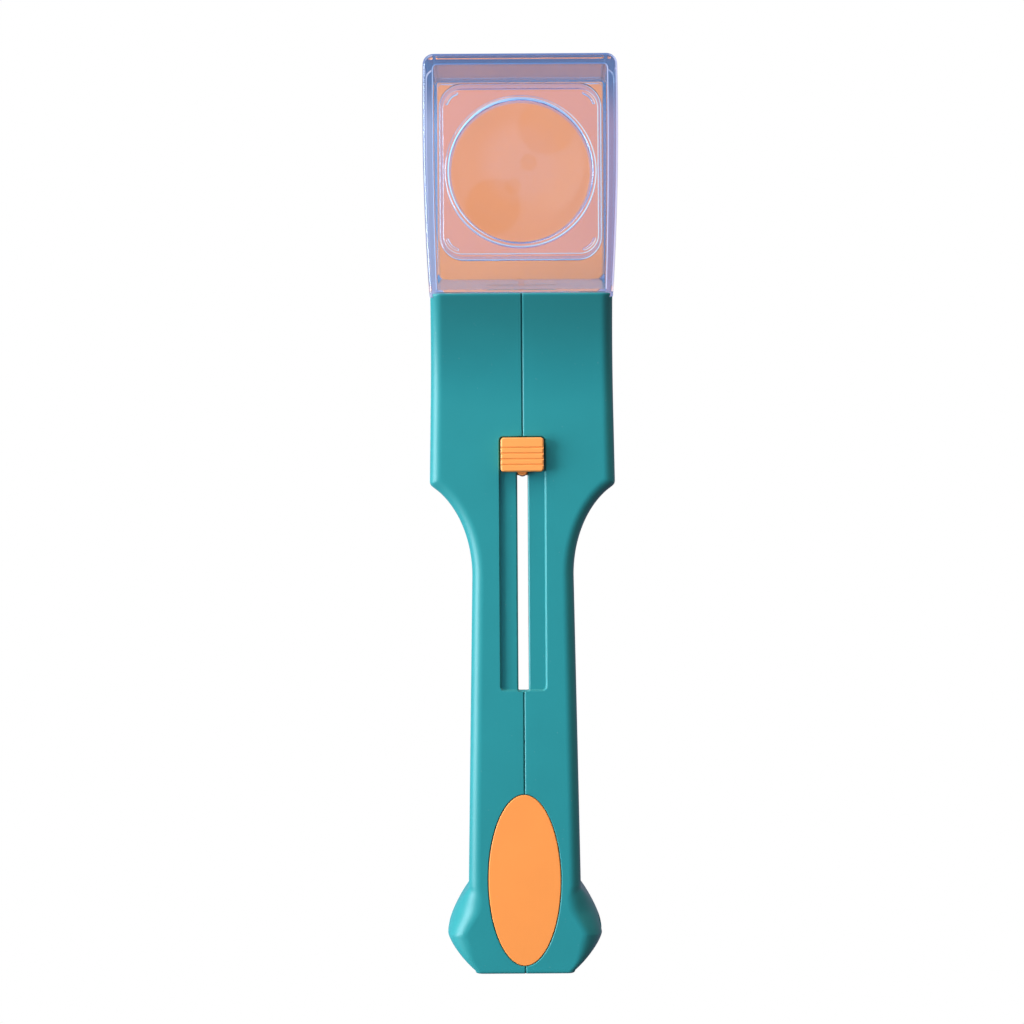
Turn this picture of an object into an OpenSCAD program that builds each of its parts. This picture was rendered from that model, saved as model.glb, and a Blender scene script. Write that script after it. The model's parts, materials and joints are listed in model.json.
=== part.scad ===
// Hand-held insect catcher: a clear magnifier box on the end of a two-part handle, closed from
// below by a sliding trapdoor that a thumb knob drives. X is across, Y runs from the butt to the
// box, Z is up. The origin is the middle of the overall length and width, on the resting plane.

/* [Clear box] */
// Length of the box ahead of the handle's top front edge
box_l = 66.4; // [60:0.2:72]
// Outer width of the box at its widest, near its far end
box_far_w = 54.3; // [53:0.1:58]
// Outer width of the box where it meets the handle
box_near_w = 50.8; // [50.8:0.2:53]
// Height of the box's top face
box_h = 29.2; // [27:0.2:34]
// Thickness of the far and side walls
box_wall = 2.4; // [2:0.1:2.6]
// Thickness of the top plate
top_t = 2.2; // [2:0.1:3]
// Thickness of the wall that leans on the handle, along Y
near_wall_t = 2; // [1.6:0.1:2.6]
// Lean of that wall and of the handle's front face, in degrees
near_lean = 14; // [10:1:16]
// Radius of the box's far corners
box_corner_r = 3; // [2:0.5:5]
// Width of the tongue that the handle halves clamp
tongue_w = 19.5; // [14:0.5:24]

/* [Magnifier] */
// Centre of the lens ahead of the handle's top front edge
lens_ahead = 33.4; // [31:0.2:36]
// Radius of the lens
lens_r = 20.1; // [17:0.1:20.4]
// Rise of the lens's upper face
crown_up = 1.4; // [0.8:0.1:2.4]
// Drop of the lens's lower face
crown_down = 3; // [1.5:0.1:4]
// Thickness of the lens at its edge
lens_edge_t = 1.2; // [1:0.1:1.6]
// Thickness of the ring around the lens
ring_t = 0.9; // [0.8:0.1:1.2]
// Height of the ring above the lens plate's raised field
ring_rise = 0.8; // [0.5:0.1:1.5]
// Width of the lens plate
plate_w = 44.8; // [44.4:0.1:45.6]
// Length of the lens plate
plate_l = 48.8; // [47:0.1:50]
// Corner radius of the lens plate
plate_r = 6.5; // [5:0.5:8]
// Thickness of the lens plate's border
plate_t = 1.2; // [1:0.1:1.6]
// Rise of the lens plate's middle field
field_rise = 0.6; // [0.4:0.1:1]

/* [Handle] */
// Length of the handle from the butt to its top front edge
handle_l = 191.6; // [186:0.2:198]
// Height of the handle's top face at the grip
grip_h = 19; // [18:0.2:21]
// Height of the handle's top front edge
front_h = 28.8; // [28.2:0.1:28.9]
// Length of the ramp up to the box
ramp_l = 30.6; // [28:0.2:34]
// Width of the head at its front
head_front_w = 50.8; // [50.6:0.2:53]
// Width of the head at the shoulder
head_back_w = 52.6; // [52:0.2:54]
// Distance from the handle's top front edge to the shoulder's corner
head_l = 52.9; // [52.5:0.1:54]
// Width of the grip at its narrow end
grip_front_w = 28.8; // [28:0.2:31]
// Width of the grip at the butt
grip_back_w = 31.9; // [30:0.1:33]
// Length of the curved shoulder
shoulder_l = 25.7; // [24:0.1:28]
// Greatest width of the flared butt
butt_w = 44.2; // [40:0.2:48]
// Width of the flat end of the butt
end_w = 26.2; // [23:0.2:30]
// Drop of the top face from the grip to the butt
butt_fall = 1.2; // [0.6:0.1:1.6]
// Radius of the handle's upper edges
edge_r = 3; // [2:0.5:4]
// Radius of the handle's lower edges
lower_edge_r = 2; // [1.5:0.5:2.5]
// Thickness of the handle's side walls
side_wall = 2.2; // [1.8:0.1:2.6]
// Thickness of the handle's roof
roof_t = 3; // [2.8:0.1:3.4]
// Thickness of the handle's front wall, along Y
front_wall = 2.2; // [1.6:0.1:3]
// Chamfer on each half along the parting line
seam_chamfer = 0.35; // [0.2:0.05:0.5]

/* [Track and knob] */
// Distance from the handle's top front edge to the front of the track
track_ahead = 39.5; // [39:0.1:41]
// Length of the track
track_l = 71.7; // [66:0.1:72]
// Width of the track
track_w = 13; // [12.8:0.1:15]
// Depth of the track
track_depth = 1.2; // [0.8:0.1:1.4]
// Width of the slot through the handle
slot_w = 3; // [2.8:0.1:4]
// Length of the thumb knob
knob_l = 9.6; // [9:0.1:11]
// Width of the thumb knob
knob_w = 12.1; // [11:0.1:12.2]
// Height of the thumb knob above the handle's top face
knob_rise = 2.8; // [2:0.1:4]
// Grooves across the thumb knob
knob_grooves = 4; // [3:1:4]
// Length of the carriage's post along the slot
post_l = 10.6; // [10.2:0.1:12]

/* [Trapdoor] */
// Width of the trapdoor
door_w = 48.2; // [47.8:0.1:48.4]
// Thickness of the trapdoor
door_t = 1.6; // [1.4:0.1:1.8]
// Thickness of the floor and rails below the trapdoor
floor_t = 1.5; // [1.3:0.1:1.8]
// Width of the trapdoor's arm
arm_w = 14; // [12:0.5:18]
// Length of the trapdoor's cut rear corners
tail_cut_l = 6.4; // [6:0.1:7]
// Width of the trapdoor's rear edge
tail_w = 36.8; // [35:0.2:37.4]

/* [Oval inlay] */
// Length of the oval inlay
inlay_l = 48.5; // [44:0.5:49]
// Width of the oval inlay
inlay_w = 20.5; // [18:0.5:22]
// Thickness of the oval inlay
inlay_t = 1.6; // [1.2:0.1:1.6]
// Distance from the end of the butt to the oval's centre
inlay_from_end = 26.6; // [26:0.2:30]

/* [Fits] */
// Gap between pieces that are fixed to each other
fit = 0.15; // [0.1:0.05:0.2]
// Running gap on each side of a sliding piece
run = 0.2; // [0.15:0.05:0.25]
// Gap left at the ends of the travel
end_gap = 0.1; // [0.1:0.05:0.3]

/* [Screws] */
// Radius of a screw's shank
screw_r = 1.25; // [1:0.05:1.4]
// Radius of a screw's head
screw_head_r = 2.6; // [2.2:0.1:2.8]
// Length of a screw under its head
screw_l = 16; // [12:0.5:18]

/* [Hidden] */
$fn = 64;

teal = [0.16, 0.56, 0.57];
orange = [0.98, 0.6, 0.32];
clear = [0.75, 0.8, 0.95, 0.45];

far = 200;                      // longer than any cut has to be
y_end = -(handle_l + box_l) / 2;
y_join = y_end + handle_l;      // the handle's top front edge
y_far = y_join + box_l;
lean = tan(near_lean);

// Door heights, shared by the box's grooves and the handle's channel
door_z = floor_t + run;
channel_top = door_z + door_t + run;

// The handle's plan: half widths at named places along Y
y_shoulder = y_join - head_l;
y_grip = y_shoulder - shoulder_l;
wide_at = 10.5;                 // from the end of the butt to its widest place
flare_l = 13.4;                 // from there to where the grip starts to flare
y_wide = y_end + wide_at;
y_flare = y_wide + flare_l;
flare_r = 2;                    // rounds the corner where the flare starts
flare_curve = 1.75;             // powers of the butt's two curves: 1 is straight,
end_curve = 1.4;                // 2 a parabola
shoulder_rise = (head_back_w - grip_front_w) / 2;
arc_l = shoulder_l * 1.09;      // the shoulder is part of an ellipse with these half axes
arc_w = shoulder_rise * 1.68;
corner_r = 1.8;
end_round = 0.8;                // the flat end's edges are cut back by this much
rail_w = 1;                     // ledge over the trapdoor's edges inside the head
bulge_in = [3.2, 3];            // how much wider the upper and lower edges curve at the butt
bulge_down = [7.5, 5];          // and how much taller
inner_in = 2.5;                 // how much narrower the hollow is there

// Track, slot and travel
track_z = grip_h - track_depth;
y_track = y_join - track_ahead;
y_track_end = y_track - track_l;
knob_gap = 0.35;
slot_front = y_track - 0.3;
travel = slot_front - y_track_end - post_l - 2 * end_gap;
post_front = slot_front - end_gap;
post_w = slot_w - 2 * fit;
knob_front = y_track - knob_gap;

// Trapdoor
door_front = y_far - box_wall - end_gap;
tail_back = 5.7;                // the open door's rear edge lies this far behind the shoulder
door_rear = y_shoulder - tail_back + travel;
post_rear = post_front - post_l;
spigot_in = 2;                  // the post's spigot, in the arm, is this much shorter at each end
arm_end = post_rear + 0.3;

// Box inside: half widths over the door and inside the rails
inner_near = box_near_w / 2 - 1.8;
inner_far = box_far_w / 2 - box_wall - 0.1;
rail_near = inner_near - 0.5;
rail_far = inner_far - 0.9;
rail_top = channel_top + 1.2;
y_sill = y_far - box_wall - 0.8;
channel_half = door_w / 2 + run;
ceiling = box_h - top_t;
y_inner = y_join + 1;           // the leaning wall's inner face where it meets the ceiling
y_outer = y_inner - near_wall_t;

// Tongue: its neck passes through the handle's front wall and its head hooks behind it
tongue_z = 14;
tongue_t = 2;
hook_w = 2.5;
hook_l = 3;
y_hook = y_outer + (ceiling - tongue_z - tongue_t) * lean - front_wall - 2 * fit;
slit_w = 1.7;                   // gap between the halves' front walls, below the tongue

// Magnifier
y_lens = y_join + lens_ahead;
field_dx = 1.6;
field_dy = 3.1;
bore_r = lens_r + fit / 2;
ring_r = bore_r + ring_t;
seat_r = lens_r - 0.9;
bulge_r = seat_r - 0.3;         // where the lens's lower face starts to bulge
seat_z = box_h - plate_t;
ring_top = box_h + field_rise + ring_rise;
ledge = 1.1;                    // what the lens plate rests on, all round
rib_w = 0.8;
rib_rise = 0.4;

// Screws across the parting line, and the pegs beside them: [y, z]
screw_at = [[y_join - 19.6, 11], [y_end + 66, 9.5], [y_end + 12, 8.5]];
peg_at = [[y_join - 31.6, 11], [y_end + 40, 9.5]];
peg_r = 1.5;
boss_r = 4;
head_seat = 8;                  // how far the screw heads sit from the parting plane
head_t = 2;

// Top surface of the handle, and how its upper edge widens at the butt
function ramp(y) = y > y_join - ramp_l
    ? (front_h - grip_h) * pow((y - y_join + ramp_l) / ramp_l, 2) : 0;
fall_l = 58;
function fall(y) = y < y_end + fall_l ? butt_fall * (y_end + fall_l - y) / fall_l : 0;
function top_z(y) = grip_h + ramp(y) - fall(y);
function ease(t) = t <= 0 ? 0 : t >= 1 ? 1 : t * t * (3 - 2 * t);
function bulge(y) = ease((y_end + 25.5 - y) / 7) * (1 - ease((y_end + 16 - y) / 12));
function upper_r(y) = edge_r * (1 - 0.65 * ease((y_end + 9 - y) / 5));

// Points of a corner at b between a and c, rounded to radius r
function unit(v) = v / norm(v);
function corner(a, b, c, r, n) =
    let (u = unit(a - b), v = unit(c - b), half = acos(u * v) / 2,
        mid = unit(u + v), o = b + mid * r / sin(half), s = u * tan(90 - half) * r + b - o,
        e = v * tan(90 - half) * r + b - o, sweep = 180 - 2 * half)
    r == 0 ? [b] : [for (i = [0:n]) let (t = i / n)
        o + (sin((1 - t) * sweep) * s + sin(t * sweep) * e) / sin(sweep)];
function rounded(path, n) = [for (i = [0:len(path) - 1])
    each corner([path[max(i - 1, 0)][0], path[max(i - 1, 0)][1]], [path[i][0], path[i][1]],
        [path[min(i + 1, len(path) - 1)][0], path[min(i + 1, len(path) - 1)][1]],
        i == 0 || i == len(path) - 1 ? 0 : path[i][2], n)];

// Half width of the ellipse that forms the shoulder
function shoulder_half(y) = grip_front_w / 2 + arc_w * (1 - sqrt(1 - pow((y - y_grip) / arc_l, 2)));

// The handle's outline from the front to the butt as [y, half width]
shoulder_steps = 9;
y_arc_top = y_shoulder - 1.9;
function head_half(y) = (head_front_w + (head_back_w - head_front_w) * (y_join - y) / head_l) / 2;
ramp_steps = 9;

// Half width of the butt: it flares from the grip, then narrows to its flat end
function butt_half(y) = y > y_wide
    ? (butt_w - (butt_w - grip_back_w) * pow((y - y_wide) / flare_l, flare_curve)) / 2
    : (butt_w - (butt_w - end_w) * pow((y_wide - y) / wide_at, end_curve)) / 2;
butt_steps = 6;
outline = rounded(concat(
    [for (t = [1:ramp_steps]) let (y = y_join - t * ramp_l / ramp_steps) [y, head_half(y), 0]],
    [[y_shoulder, head_back_w / 2, corner_r]],
    [for (i = [0:shoulder_steps]) let (t = 1 - i / shoulder_steps,
        y = y_grip + (y_arc_top - y_grip) * t) [y, shoulder_half(y), 0]],
    [[y_end + fall_l, (grip_front_w + (grip_back_w - grip_front_w)
        * (y_grip - y_end - fall_l) / (y_grip - y_flare)) / 2, 0]],
    [[y_flare, grip_back_w / 2, flare_r]],
    [for (i = [1:butt_steps]) let (y = y_flare - flare_l * i / butt_steps) [y, butt_half(y), 0]],
    [for (i = [1:butt_steps]) let (y = y_wide - (wide_at - end_round) * i / butt_steps)
        [y, butt_half(y), 0]]), 6);

// Section of one half of the handle, as [x, z], from the parting plane round to it again. Its
// lower and upper edges are quarter ellipses with half axes [across, up]
function half_section(half, low, high, lower, upper, x0, c, n) = concat(
    c > 0 ? [[x0, low + c], [x0 + c, low]] : [[x0, low]],
    [for (i = [0:n]) let (a = -90 + 90 * i / n)
        [half + lower[0] * (cos(a) - 1), low + lower[1] * (sin(a) + 1)]],
    [for (i = [0:n]) let (a = 90 * i / n)
        [half + upper[0] * (cos(a) - 1), high + upper[1] * (sin(a) - 1)]],
    c > 0 ? [[x0 + c, high], [x0, high - c]] : [[x0, high]]);
function outer_section(y, half, inset) = let (s = bulge(y), r = upper_r(y))
    half_section(half - inset, inset, top_z(y) - inset,
        [lower_edge_r + bulge_in[1] * s, lower_edge_r + bulge_down[1] * s],
        [r + bulge_in[0] * s, r + bulge_down[0] * s], 0, seam_chamfer, 5);
function inner_section(y, half) =
    half_section(half - side_wall - inner_in * bulge(y) - (y > y_shoulder ? rail_w : 0),
        floor_t + run / 2, top_z(y) - roof_t, [0.5, 0.5], [1, 1], -2, 0, 2);

// A closed skin through sections that all have the same number of points
module skin(rings) {
    n = len(rings[0]);
    last = len(rings) - 1;
    polyhedron([for (ring = rings) each ring], concat(
        [for (k = [0:last - 1], i = [0:n - 1]) [k * n + i, (k + 1) * n + i, (k + 1) * n + (i + 1) % n]],
        [for (k = [0:last - 1], i = [0:n - 1])
            [k * n + i, (k + 1) * n + (i + 1) % n, k * n + (i + 1) % n]],
        [for (i = [1:n - 2]) [0, i, i + 1]],
        [for (i = [1:n - 2]) [last * n, last * n + i + 1, last * n + i]]));
}

// Everything ahead of the leaning plane that crosses height z at y
module ahead_of(y, z, top) {
    rotate([90, 0, 90])
        linear_extrude(height = far, center = true)
            polygon([[y + (z + 5) * lean, -5], [y + far, -5], [y + far, top], [y + (z - top) * lean, top]]);
}

// Rectangle with rounded corners, centred
function round_rect(w, l, r, n = 10) = [for (k = [0:3], i = [0:n]) let (a = 90 * k + 90 * i / n,
    sx = (k == 0 || k == 3) ? 1 : -1, sy = k < 2 ? 1 : -1)
    [sx * (w / 2 - r) + r * cos(a), sy * (l / 2 - r) + r * sin(a)]];

// Plan of the box: gently bowed sides, from the half width at its near end to the greatest half
// width at bow_at of the length, and rounded far corners
bow_at = 0.78;
function right_side(near_half, wide_half, y0, y1, r) =
    let (steps = 6, half_at = function(t) near_half + (wide_half - near_half) * (1 - pow(1 - t / bow_at, 2)))
    concat([for (i = [0:steps]) let (t = i / steps) [half_at(t), y0 + (y1 - r - y0) * t]],
        [for (i = [1:8]) let (a = 90 * i / 8) [half_at(1) - r + r * cos(a), y1 - r + r * sin(a)]]);
function box_plan(near_half, wide_half, y0, y1, r) =
    let (side = right_side(near_half, wide_half, y0, y1, r), last = len(side) - 1)
    concat(side, [for (i = [last:-1:0]) [-side[i][0], side[i][1]]]);

module slab(z0, z1) {
    translate([0, 0, z0])
        linear_extrude(height = z1 - z0)
            children();
}

// Slot outline with round ends, from y0 to y1
function stadium(w, y0, y1, n = 12) = concat(
    [for (i = [0:n]) let (a = 180 * i / n) [w / 2 * cos(a), y1 - w / 2 + w / 2 * sin(a)]],
    [for (i = [0:n]) let (a = 180 + 180 * i / n) [w / 2 * cos(a), y0 + w / 2 + w / 2 * sin(a)]]);

// Outer skin of the right half. Its front leans, and runs past the box's wall before it is cut
module outer_skin() {
    y0 = y_join + 1;
    skin(concat(
        [[for (p = outer_section(y0, head_half(y_join), 0)) [p[0], y0 + (top_z(y0) - p[1]) * lean, p[1]]]],
        [for (s = outline) [for (p = outer_section(s[0], s[1], 0)) [p[0], s[0], p[1]]]],
        [[for (p = outer_section(y_end, end_w / 2, end_round)) [p[0], y_end, p[1]]]]));
}

// Hollow of the right half, with a leaning front wall
module inner_skin() {
    y0 = y_outer - fit - front_wall;
    stations = [for (s = outline) if (s[0] > y_end + 6 && s[0] < y0 - 1) s];
    skin(concat(
        [[for (p = inner_section(y0, head_half(y0))) [p[0], y0 + (ceiling - p[1]) * lean, p[1]]]],
        [for (s = stations) [for (p = inner_section(s[0], s[1])) [p[0], s[0], p[1]]]]));
}

// Narrowest half width near y
function half_near(y) = min(lookup(y - boss_r, plan_pairs), lookup(y + boss_r, plan_pairs));
plan_pairs = [for (i = [len(outline) - 1:-1:0]) [outline[i][0], outline[i][1]]];

// Right half of the handle, before its screw holes
module shell_half() {
    difference() {
        union() {
            difference() {
                outer_skin();
                inner_skin();
            }
            for (at = concat(screw_at, peg_at))
                cross_bar(at, boss_r, 0, half_near(at[0]) - side_wall / 2);
        }
        door_channel();
        front_cut();
        slab(-1, grip_h + 5)
            translate([0, (y_track_end + slot_front) / 2])
                polygon(round_rect(slot_w, slot_front - y_track_end, 0.4, 3));
        slab(track_z, grip_h + 5)
            translate([0, y_track - track_l / 2])
                polygon(round_rect(track_w, track_l, 1, 3));
        inlay_shape(inlay_w + 2 * fit, inlay_l + 2 * fit, inlay_t + fit, 3);
    }
}

// Channel that holds the open trapdoor inside the head
module door_channel() {
    y_tail = y_shoulder - tail_back - 0.4;
    dy = 0.3;
    slab(floor_t, channel_top)
        polygon([[-1, y_tail], [tail_w / 2 + 0.35, y_tail],
            [channel_half, y_shoulder - tail_back + tail_cut_l - dy],
            [channel_half, y_join + 20], [-1, y_join + 20]]);
}

// What the box takes from the handle's front: room for its leaning wall, under a lip that meets
// the box's top plate, then the tongue's neck and the slit below it
module front_cut() {
    ahead_of(y_outer - fit, ceiling, ceiling + fit);
    translate([-far / 2, y_join, ceiling - 1])
        cube([far, far, far]);
    translate([-tongue_w / 2 - fit, y_hook - 1, tongue_z - fit])
        cube([tongue_w + 2 * fit, 20, tongue_t + 2 * fit]);
    translate([-slit_w / 2, y_hook - 1, floor_t + 0.5])
        cube([slit_w, 20, tongue_z - floor_t]);
}

// Oval, let into the sloping top face of the butt: depth below the face and rise above it
module inlay_shape(w, l, depth, rise) {
    y0 = y_end + inlay_from_end;
    translate([0, y0, top_z(y0)])
        rotate([atan(butt_fall / fall_l), 0, 0])
            slab(-depth, rise)
                polygon([for (i = [0:71]) [w / 2 * cos(5 * i), l / 2 * sin(5 * i)]]);
}

// T-shaped tongue at the back of the box
module tongue() {
    y_root = y_outer + (ceiling - tongue_z) * lean + 1;
    translate([-tongue_w / 2, y_hook - 1, tongue_z])
        cube([tongue_w, y_root - y_hook + 1, tongue_t]);
    translate([-tongue_w / 2 - hook_w, y_hook - hook_l, tongue_z])
        cube([tongue_w + 2 * hook_w, hook_l, tongue_t]);
}

// A bar along X at [y, z]
module cross_bar(at, r, x0, x1) {
    translate([x0, at[0], at[1]])
        rotate([0, 90, 0])
            cylinder(r = r, h = x1 - x0);
}

module right_shell() {
    color(teal)
        difference() {
            shell_half();
            for (at = screw_at) {
                cross_bar(at, screw_r + 0.3, -1, far);
                cross_bar(at, screw_head_r + 0.4, head_seat, far);
            }
            for (at = peg_at)
                cross_bar(at, peg_r + 0.1, -1, 3.2);
        }
}

module left_shell() {
    color(teal)
        mirror([1, 0, 0])
            union() {
                difference() {
                    shell_half();
                    for (at = screw_at)
                        cross_bar(at, screw_r + 0.05, -1, screw_l - head_seat + 1);
                }
                for (at = peg_at)
                    cross_bar(at, peg_r, -3, 1);
            }
}

// Screw along X at [y, z], its head seated in the right half
module shell_screw(at) {
    color("silver") {
        cross_bar(at, screw_r, head_seat - screw_l, head_seat + 0.5);
        cross_bar(at, screw_head_r, head_seat, head_seat + head_t);
    }
}

module front_screw() {
    shell_screw(screw_at[0]);
}

module middle_screw() {
    shell_screw(screw_at[1]);
}

module rear_screw() {
    shell_screw(screw_at[2]);
}

module viewing_box() {
    color(clear)
        difference() {
            union() {
                difference() {
                    slab(0, box_h)
                        polygon(box_plan(box_near_w / 2, box_far_w / 2, y_join - 2, y_far, box_corner_r));
                    // the back leans with the handle's front face
                    difference() {
                        translate([-far / 2, y_join - far, -5])
                            cube([far, far + 20, far]);
                        ahead_of(y_outer, ceiling, far);
                    }
                    translate([-far / 2, y_join - far + fit, ceiling + 0.1])
                        cube([far, far, far]);
                }
                tongue();
            }
            // inside, above the door's rails
            intersection() {
                slab(rail_top, ceiling)
                    polygon(box_plan(inner_near, inner_far, y_join - 5, y_far - box_wall, 1.5));
                ahead_of(y_inner, ceiling, far);
            }
            intersection() {
                slab(channel_top, rail_top + 1)
                    polygon(box_plan(rail_near, rail_far, y_join - 5, y_sill, 1));
                ahead_of(y_inner, ceiling, far);
            }
            slab(-1, floor_t + 1)
                polygon(box_plan(rail_near, rail_far, y_join - 5, y_sill, 1));
            // grooves for the door's edges, open towards the handle
            slab(floor_t, channel_top)
                polygon(box_plan(channel_half, channel_half, y_join - 5, y_far - box_wall + 0.1, 0.5));
            // seat and opening for the lens plate
            translate([0, y_lens, 0]) {
                slab(seat_z, box_h + 1)
                    polygon(round_rect(plate_w + 2 * fit, plate_l + 2 * fit, plate_r));
                slab(ceiling - 1, seat_z + 1)
                    polygon(round_rect(plate_w - 2 * ledge, plate_l - 2 * ledge, plate_r - ledge));
            }
        }
}

module lens_plate() {
    color(clear)
        translate([0, y_lens, 0])
            difference() {
                union() {
                    slab(seat_z, box_h)
                        polygon(round_rect(plate_w, plate_l, plate_r));
                    slab(seat_z + 0.5, box_h + field_rise)
                        polygon(round_rect(plate_w - field_dx, plate_l - field_dy, plate_r - 1.2));
                    translate([0, 0, seat_z - 0.8])
                        cylinder(r = ring_r, h = ring_top - seat_z + 0.8);
                    corner_ribs();
                }
                translate([0, 0, seat_z])
                    cylinder(r = bore_r, h = far);
                cylinder(r = seat_r, h = far);
            }
}

// Four short curved ribs in the corners of the raised field
module corner_ribs() {
    r = plate_r - 2.2;
    x_turn = (plate_w - field_dx) / 2 - r - 1;
    y_turn = (plate_l - field_dy) / 2 - r - 1;
    for (side = [0, 1], end = [0, 1])
        mirror([side, 0, 0])
            mirror([0, end, 0])
                translate([x_turn, y_turn, seat_z + 0.5])
                    rotate([0, 0, 15])
                        rotate_extrude(angle = 60)
                            translate([r - rib_w / 2, 0])
                                square([rib_w, plate_t - 0.5 + field_rise + rib_rise]);
}

// Part of a ball that bulges up from a circle of radius r by a given rise
module cap(r, rise) {
    ball_r = (r * r + rise * rise) / (2 * rise);
    intersection() {
        translate([0, 0, rise - ball_r])
            sphere(r = ball_r, $fn = 240);
        translate([0, 0, -0.4])
            cylinder(r = r, h = rise + 1);
    }
}

// Lens with a bulge above and a deeper one below, and a plain edge that its seat holds
module magnifier_lens() {
    color(clear)
        translate([0, y_lens, seat_z]) {
            cylinder(r = lens_r, h = lens_edge_t);
            translate([0, 0, lens_edge_t])
                cap(lens_r - 0.2, crown_up);
            mirror([0, 0, 1])
                cap(bulge_r, crown_down);
        }
}

module grip_inlay() {
    color(orange)
        inlay_shape(inlay_w, inlay_l, inlay_t, 0);
}

module trap_door() {
    half = door_w / 2;
    bevel = 0.5;
    side = [[tail_w / 2, door_rear], [half, door_rear + tail_cut_l], [half, door_front - bevel],
        [half - bevel, door_front]];
    color(orange)
        difference() {
            union() {
                slab(door_z, door_z + door_t)
                    polygon(concat(side, [for (i = [3:-1:0]) [-side[i][0], side[i][1]]]));
                slab(door_z, door_z + door_t)
                    polygon(stadium(arm_w, arm_end, door_rear + 10));
            }
            slab(0, far)
                polygon(spigot_plan(0.05));
        }
}

// Plan of the post, and of the spigot below it, each grown by a given gap
function post_plan(gap) = stadium(post_w + 2 * gap, post_rear - gap, post_front + gap);
function spigot_plan(gap) =
    stadium(post_w + 2 * gap, post_rear + spigot_in - gap, post_front - spigot_in + gap);

// Post through the slot, with a foot and a spigot on the arm and a flange under the track's floor
module slider_carriage() {
    door_top = door_z + door_t;
    roof_z = grip_h - roof_t;
    block_w = arm_w - 4;
    color(orange) {
        slab(0.4, door_top + 1)
            polygon(spigot_plan(0));
        slab(door_top, track_z + 1.5)
            polygon(post_plan(0));
        slab(door_top, door_top + 2.4)
            polygon(round_rect_at(block_w, post_l - 0.8, 1.5));
        slab(roof_z - run - 1.4, roof_z - run)
            polygon(round_rect_at(block_w, post_l - 0.8, 1.5));
    }
}
function round_rect_at(w, l, r) = [for (p = round_rect(w, l, r)) [p[0], p[1] + post_front - post_l / 2]];

module thumb_knob() {
    y0 = knob_front - knob_l / 2;
    z0 = track_z + 0.15;
    z1 = grip_h + knob_rise;
    pitch = 1.6;
    set_back = 0.5;             // the grooves sit this far behind the knob's middle
    color(orange)
        difference() {
            translate([0, y0, 0])
                hull() {
                    slab(z0, z1 - 0.6)
                        polygon(round_rect(knob_w, knob_l, 1, 4));
                    slab(z1 - 0.7, z1 - 0.2)
                        polygon(round_rect(knob_w - 0.5, knob_l - 0.5, 0.8, 4));
                    slab(z1 - 0.3, z1)
                        polygon(round_rect(knob_w - 1.2, knob_l - 1.2, 0.6, 4));
                }
            for (i = [0:knob_grooves - 1])
                translate([-far / 2, y0 - set_back - 0.2 + (i - (knob_grooves - 1) / 2) * pitch, z1 - 0.3])
                    cube([far, 0.4, 1]);
            slab(z0 - 1, track_z + 1.65)
                polygon(post_plan(0.05));
        }
}

left_shell();
right_shell();
front_screw();
middle_screw();
rear_screw();
viewing_box();
lens_plate();
magnifier_lens();
grip_inlay();
trap_door();
slider_carriage();
thumb_knob();
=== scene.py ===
import json

import bmesh
import bpy
import numpy as np
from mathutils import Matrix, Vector


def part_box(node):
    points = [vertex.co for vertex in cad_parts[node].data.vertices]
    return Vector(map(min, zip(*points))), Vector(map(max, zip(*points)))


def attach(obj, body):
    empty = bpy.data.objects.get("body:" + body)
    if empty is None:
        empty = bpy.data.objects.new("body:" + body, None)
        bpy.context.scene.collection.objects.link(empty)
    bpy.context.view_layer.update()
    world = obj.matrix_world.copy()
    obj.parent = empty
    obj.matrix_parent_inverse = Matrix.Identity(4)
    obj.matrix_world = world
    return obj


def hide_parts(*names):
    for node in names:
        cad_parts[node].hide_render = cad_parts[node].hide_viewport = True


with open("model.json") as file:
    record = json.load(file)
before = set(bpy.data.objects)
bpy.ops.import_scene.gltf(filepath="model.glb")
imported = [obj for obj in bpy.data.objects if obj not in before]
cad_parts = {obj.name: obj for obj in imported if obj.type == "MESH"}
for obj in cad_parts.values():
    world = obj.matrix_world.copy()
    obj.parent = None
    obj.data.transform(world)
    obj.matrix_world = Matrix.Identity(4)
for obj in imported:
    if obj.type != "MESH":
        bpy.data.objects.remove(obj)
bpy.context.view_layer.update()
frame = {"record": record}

# ---- Handle halves ------------------------------------------------------------------------------
# Two hollow halves of satin teal ABS, parted along the middle. Three screws and two pegs hold them
# together round the clear box's tongue. The top has a long track with a slot, a hollow ramp up to
# the box, and an oval pocket in the flared butt.

mm = 0.001


def corners_of(node):
    """Lowest and highest corner of a fixed node, in millimetres."""
    return [np.array(corner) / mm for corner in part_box(node)]


lens_low, lens_high = corners_of("magnifier_lens")
lens_y = (lens_low[1] + lens_high[1]) / 2
butt_end = corners_of("right_shell")[0][1]
join = lens_y - 33.4                    # where the top face meets the clear box
grip_top, front_top = 19.0, 28.8        # heights of the top face
ramp_long, fall_long, butt_drop = 30.6, 58.0, 1.2
front_round, end_round, high_round, low_round = 0.8, 0.9, 3.3, 2.0
head_half, grip_half, flare_half, widest_half, end_half = 26.3, 14.4, 15.95, 22.1, 13.1
head_long, shoulder_long, flare_long, end_long = 52.9, 25.7, 13.4, 10.5
shoulder = join - head_long
grip_start = shoulder - shoulder_long
widest = butt_end + end_long
flare_start = widest + flare_long
lean = np.tan(np.radians(14))           # the box's near wall and the handle's front lean this much
wall, floor, roof = 2.2, 1.6, 3.0
fit = 0.15                              # gap between fixed pieces


def ease(t):
    """Smooth step: 3t squared minus 2t cubed, held at 0 and 1 outside."""
    t = np.clip(t, 0, 1)
    return t * t * (3 - 2 * t)


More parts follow.
